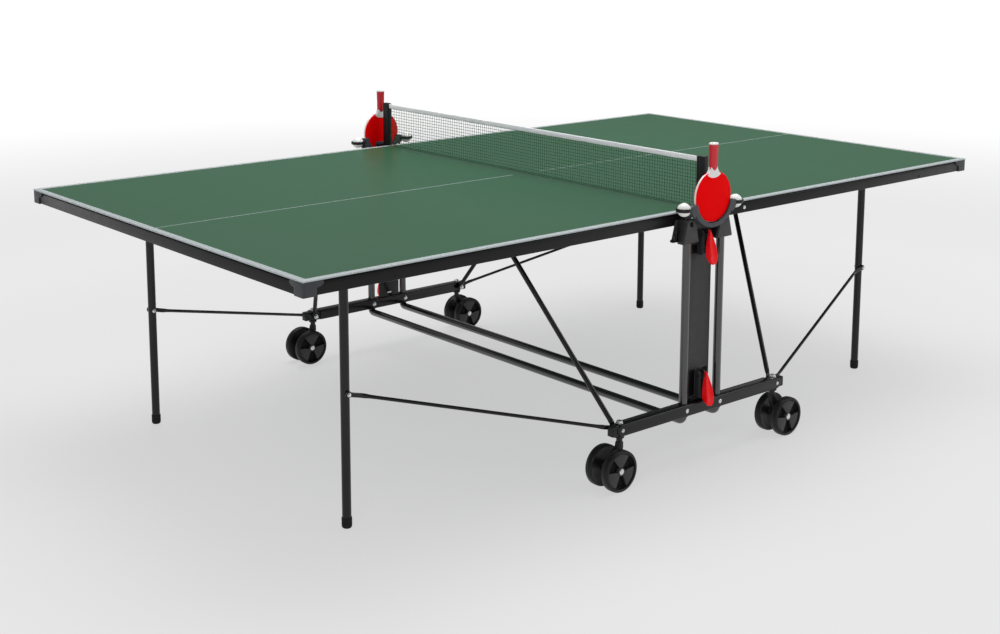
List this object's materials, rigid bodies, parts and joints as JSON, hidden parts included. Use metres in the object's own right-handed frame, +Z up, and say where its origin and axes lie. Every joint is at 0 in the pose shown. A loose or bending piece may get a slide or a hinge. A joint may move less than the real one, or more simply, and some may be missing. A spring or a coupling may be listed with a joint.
{
  "type": "ping pong table",
  "caption": "Folding table tennis table: green halves tip up on a wheeled black steel undercarriage, with net, bat and ball holders and red latches.",
  "frame": {"origin": "on the floor, under the middle of the net", "axes": "+X along the table's length, +Y across it along the net, +Z up"},
  "size_m": [2.74, 1.656, 0.959],
  "materials": {
    "table_top": "satin",
    "apron_steel": "satin powder coat",
    "frame_steel": "satin powder coat",
    "panel_steel": "satin powder coat",
    "holder_plastic": "moulded, fine grain",
    "post_plastic": "moulded",
    "sleeve_plastic": "moulded, fine grain",
    "cap_plastic": "moulded",
    "foot_rubber": "matt",
    "latch_red": "satin gloss",
    "caster_plastic": "moulded",
    "wheel_plastic": "moulded",
    "net_mesh": "woven",
    "net_tape": "woven",
    "bat_rubber": "smooth rubber",
    "ball_plastic": "matt"
  },
  "bodies": {
    "root": {"u_frame_left": "frame_steel", "u_frame_right": "frame_steel", "rail_near": "frame_steel", "centre_panel_near": "panel_steel", "bat_holder_near": "holder_plastic", "net_post_near": "post_plastic", "rail_far": "frame_steel", "centre_panel_far": "panel_steel", "bat_holder_far": "holder_plastic", "net_post_far": "post_plastic", "net_mesh": "net_mesh", "net_tape": "net_tape"},
    "left_sleeves": {"sleeve_left_near": "sleeve_plastic", "sleeve_left_far": "sleeve_plastic"},
    "left_half": {"table_top_left": "table_top", "top_frame_left": "apron_steel", "corner_cap_left_near": "cap_plastic", "corner_cap_left_far": "cap_plastic"},
    "left_legs": {"leg_left_near": "frame_steel", "leg_foot_left_near": "foot_rubber", "leg_left_far": "frame_steel", "leg_foot_left_far": "foot_rubber"},
    "left_tie_rods": {"tie_rod_left_near": "frame_steel", "tie_rod_left_far": "frame_steel"},
    "left_struts": {"strut_left_near": "frame_steel", "strut_left_far": "frame_steel"},
    "right_sleeves": {"sleeve_right_near": "sleeve_plastic", "sleeve_right_far": "sleeve_plastic"},
    "right_half": {"table_top_right": "table_top", "top_frame_right": "apron_steel", "corner_cap_right_near": "cap_plastic", "corner_cap_right_far": "cap_plastic"},
    "right_legs": {"leg_right_near": "frame_steel", "leg_foot_right_near": "foot_rubber", "leg_right_far": "frame_steel", "leg_foot_right_far": "foot_rubber"},
    "right_tie_rods": {"tie_rod_right_near": "frame_steel", "tie_rod_right_far": "frame_steel"},
    "right_struts": {"strut_right_near": "frame_steel", "strut_right_far": "frame_steel"},
    "top_latch_near": {"latch_top_near": "latch_red"},
    "top_latch_far": {"latch_top_far": "latch_red"},
    "bottom_latch_near": {"latch_bottom_near": "latch_red"},
    "bottom_latch_far": {"latch_bottom_far": "latch_red"},
    "caster_left_near": {"caster_fork_left_near": "caster_plastic"},
    "wheels_left_near": {"caster_wheels_left_near": "wheel_plastic"},
    "caster_left_far": {"caster_fork_left_far": "caster_plastic"},
    "wheels_left_far": {"caster_wheels_left_far": "wheel_plastic"},
    "caster_right_near": {"caster_fork_right_near": "caster_plastic"},
    "wheels_right_near": {"caster_wheels_right_near": "wheel_plastic"},
    "caster_right_far": {"caster_fork_right_far": "caster_plastic"},
    "wheels_right_far": {"caster_wheels_right_far": "wheel_plastic"},
    "loose_bat_near": {"bat_near": "bat_rubber"},
    "loose_bat_far": {"bat_far": "bat_rubber"},
    "loose_ball_left_near": {"ball_left_near": "ball_plastic"},
    "loose_ball_left_far": {"ball_left_far": "ball_plastic"},
    "loose_ball_right_near": {"ball_right_near": "ball_plastic"},
    "loose_ball_right_far": {"ball_right_far": "ball_plastic"}
  },
  "joints": [
    {"name": "sleeve_drop_left", "type": "slide", "parent": "root", "child": "left_sleeves", "axis": [0, 0, -1], "range_m": [0, 0.4821]},
    {"name": "fold_left_half", "type": "hinge", "parent": "left_sleeves", "child": "left_half", "pos_m": [-0.072, 0, 0.727], "axis": [0, 1, 0], "range_deg": [0, 90]},
    {"name": "leg_swing_left", "type": "hinge", "parent": "left_half", "child": "left_legs", "pos_m": [-1.098, 0, 0.728], "axis": [0, 1, 0], "range_deg": [-87.52, 0]},
    {"name": "tie_swing_left", "type": "hinge", "parent": "left_legs", "child": "left_tie_rods", "pos_m": [-1.098, 0, 0.372], "axis": [0, 1, 0], "range_deg": [0, 91.09]},
    {"name": "strut_swing_left", "type": "hinge", "parent": "left_half", "child": "left_struts", "pos_m": [-0.50036, 0, 0.704], "axis": [0, 1, 0], "range_deg": [-47.43, 0]},
    {"name": "sleeve_drop_right", "type": "slide", "parent": "root", "child": "right_sleeves", "axis": [0, 0, -1], "range_m": [0, 0.4821]},
    {"name": "fold_right_half", "type": "hinge", "parent": "right_sleeves", "child": "right_half", "pos_m": [0.072, 0, 0.727], "axis": [0, -1, 0], "range_deg": [0, 90]},
    {"name": "leg_swing_right", "type": "hinge", "parent": "right_half", "child": "right_legs", "pos_m": [1.098, 0, 0.728], "axis": [0, -1, 0], "range_deg": [-87.52, 0]},
    {"name": "tie_swing_right", "type": "hinge", "parent": "right_legs", "child": "right_tie_rods", "pos_m": [1.098, 0, 0.372], "axis": [0, -1, 0], "range_deg": [0, 91.09]},
    {"name": "strut_swing_right", "type": "hinge", "parent": "right_half", "child": "right_struts", "pos_m": [0.50036, 0, 0.704], "axis": [0, -1, 0], "range_deg": [-47.43, 0]},
    {"name": "latch_top_near_pull", "type": "hinge", "parent": "root", "child": "top_latch_near", "pos_m": [0, -0.786, 0.686], "axis": [-1, 0, 0], "range_deg": [0, 30]},
    {"name": "latch_top_far_pull", "type": "hinge", "parent": "root", "child": "top_latch_far", "pos_m": [0, 0.786, 0.686], "axis": [1, 0, 0], "range_deg": [0, 30]},
    {"name": "latch_bottom_near_pull", "type": "hinge", "parent": "root", "child": "bottom_latch_near", "pos_m": [0, -0.786, 0.259], "axis": [-1, 0, 0], "range_deg": [0, 30]},
    {"name": "latch_bottom_far_pull", "type": "hinge", "parent": "root", "child": "bottom_latch_far", "pos_m": [0, 0.786, 0.259], "axis": [1, 0, 0], "range_deg": [0, 30]},
    {"name": "swivel_left_near", "type": "hinge", "parent": "root", "child": "caster_left_near", "pos_m": [-0.334, -0.783, 0.15], "axis": [0, 0, 1], "continuous": true},
    {"name": "wheel_spin_left_near", "type": "hinge", "parent": "caster_left_near", "child": "wheels_left_near", "pos_m": [-0.365, -0.783, 0.061], "axis": [0, 1, 0], "continuous": true},
    {"name": "swivel_left_far", "type": "hinge", "parent": "root", "child": "caster_left_far", "pos_m": [-0.334, 0.783, 0.15], "axis": [0, 0, 1], "continuous": true},
    {"name": "wheel_spin_left_far", "type": "hinge", "parent": "caster_left_far", "child": "wheels_left_far", "pos_m": [-0.365, 0.783, 0.061], "axis": [0, 1, 0], "continuous": true},
    {"name": "swivel_right_near", "type": "hinge", "parent": "root", "child": "caster_right_near", "pos_m": [0.334, -0.783, 0.15], "axis": [0, 0, 1], "continuous": true},
    {"name": "wheel_spin_right_near", "type": "hinge", "parent": "caster_right_near", "child": "wheels_right_near", "pos_m": [0.365, -0.783, 0.061], "axis": [0, 1, 0], "continuous": true},
    {"name": "swivel_right_far", "type": "hinge", "parent": "root", "child": "caster_right_far", "pos_m": [0.334, 0.783, 0.15], "axis": [0, 0, 1], "continuous": true},
    {"name": "wheel_spin_right_far", "type": "hinge", "parent": "caster_right_far", "child": "wheels_right_far", "pos_m": [0.365, 0.783, 0.061], "axis": [0, 1, 0], "continuous": true},
    {"name": "lift_bat_near", "type": "slide", "parent": "root", "child": "loose_bat_near", "axis": [0, 0, 1], "range_m": [0, 0.2]},
    {"name": "lift_bat_far", "type": "slide", "parent": "root", "child": "loose_bat_far", "axis": [0, 0, 1], "range_m": [0, 0.2]},
    {"name": "lift_ball_left_near", "type": "slide", "parent": "root", "child": "loose_ball_left_near", "axis": [0, 0, 1], "range_m": [0, 0.06]},
    {"name": "lift_ball_left_far", "type": "slide", "parent": "root", "child": "loose_ball_left_far", "axis": [0, 0, 1], "range_m": [0, 0.06]},
    {"name": "lift_ball_right_near", "type": "slide", "parent": "root", "child": "loose_ball_right_near", "axis": [0, 0, 1], "range_m": [0, 0.06]},
    {"name": "lift_ball_right_far", "type": "slide", "parent": "root", "child": "loose_ball_right_far", "axis": [0, 0, 1], "range_m": [0, 0.06]}
  ],
  "couplings": [
    {"joint": "sleeve_drop_left", "follows": "fold_left_half", "m_per_rad": 0.30685},
    {"joint": "leg_swing_left", "follows": "fold_left_half", "ratio": -0.97234},
    {"joint": "tie_swing_left", "follows": "fold_left_half", "ratio": 1.012},
    {"joint": "strut_swing_left", "follows": "fold_left_half", "ratio": -0.52694},
    {"joint": "sleeve_drop_right", "follows": "fold_right_half", "m_per_rad": 0.30685},
    {"joint": "leg_swing_right", "follows": "fold_right_half", "ratio": -0.97234},
    {"joint": "tie_swing_right", "follows": "fold_right_half", "ratio": 1.012},
    {"joint": "strut_swing_right", "follows": "fold_right_half", "ratio": -0.52694}
  ]
}
